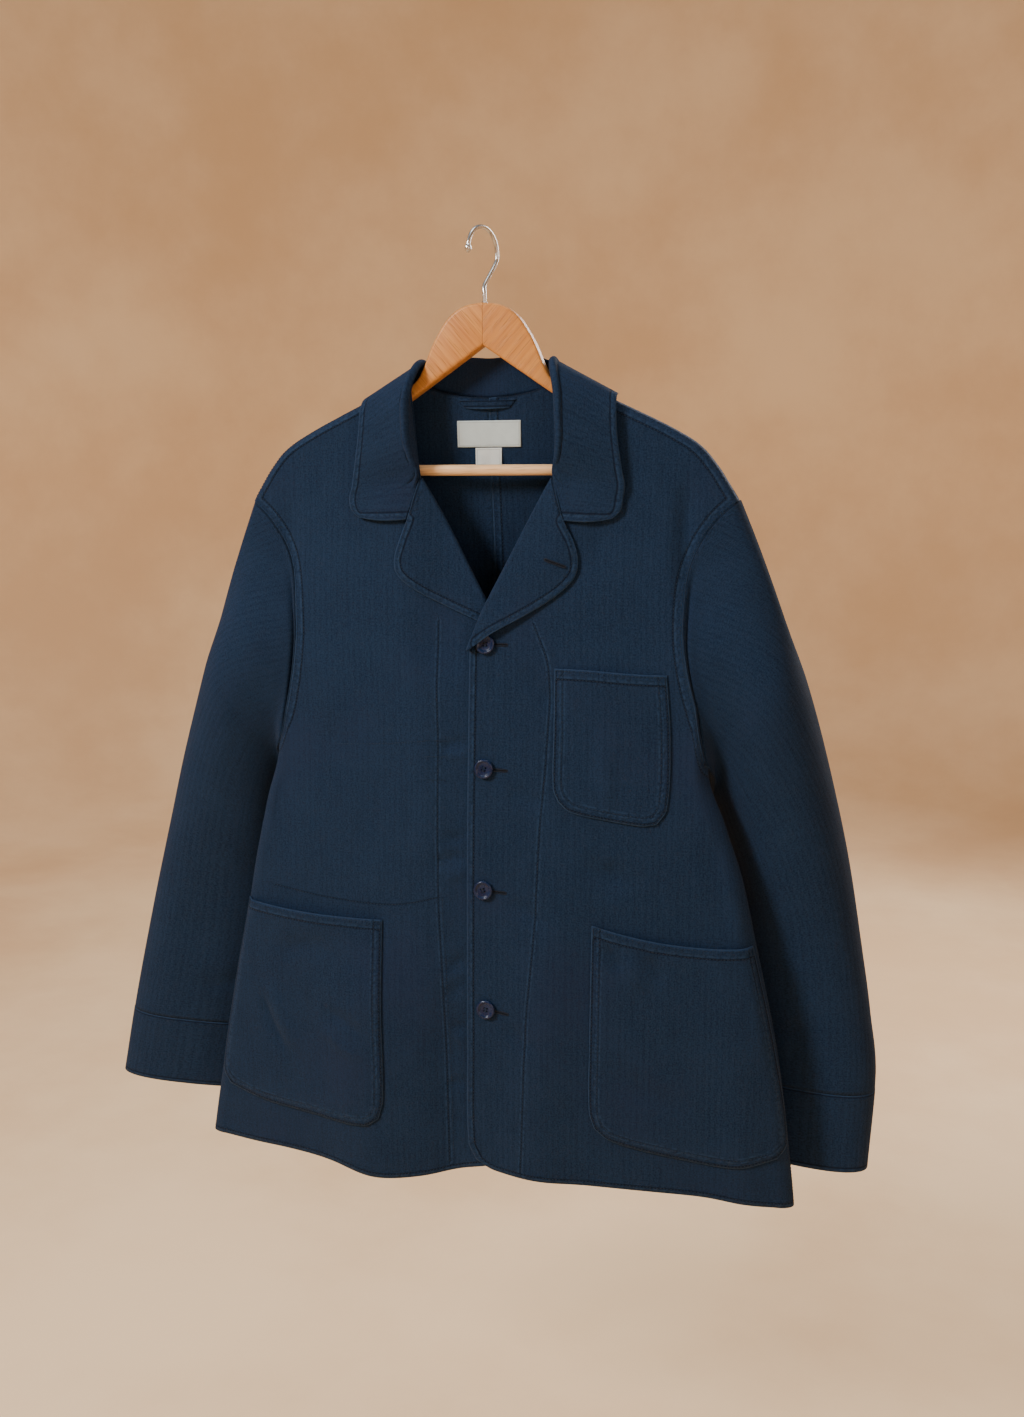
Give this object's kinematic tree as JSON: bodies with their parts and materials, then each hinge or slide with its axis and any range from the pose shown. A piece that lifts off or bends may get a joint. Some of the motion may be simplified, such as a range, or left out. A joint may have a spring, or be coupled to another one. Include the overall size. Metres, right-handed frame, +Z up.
{
  "type": "chore jacket on a wooden hanger",
  "caption": "Buttoned cotton work jacket with a notched collar, lapels and patch pockets, hanging on a flat wooden hanger with a wire hook.",
  "frame": {"origin": "inside the crown of the hanger's hook, where it bears on a rail", "axes": "+Z up; the jacket's front faces -Y; +X is the wearer's left"},
  "size_m": [0.7998, 0.1223, 0.9098],
  "materials": {
    "cloth": "navy cotton herringbone, dry and soft, a little lighter along the sewn edges",
    "button": "glossy dark navy, four holes",
    "label": "pale grey woven tape, bare",
    "wood": "light varnished wood, glued down the middle",
    "bar_wood": "pale turned wood",
    "hook_steel": "polished steel wire"
  },
  "bodies": {
    "root": {"front_left": "cloth", "back_left": "cloth", "sleeve_left": "cloth", "cuff_left": "cloth", "lapel_left": "cloth", "front_right": "cloth", "back_right": "cloth", "sleeve_right": "cloth", "cuff_right": "cloth", "lapel_right": "cloth", "collar": "cloth", "chest_pocket": "cloth", "hip_pocket_left": "cloth", "hip_pocket_right": "cloth", "button_1": "button", "button_2": "button", "button_3": "button", "button_4": "button", "hanging_loop": "cloth", "neck_label": "label", "size_label": "label", "hanger_arm_left": "wood", "hanger_arm_right": "wood", "hanger_bar": "bar_wood", "hanger_hook": "hook_steel"}
  },
  "joints": []
}
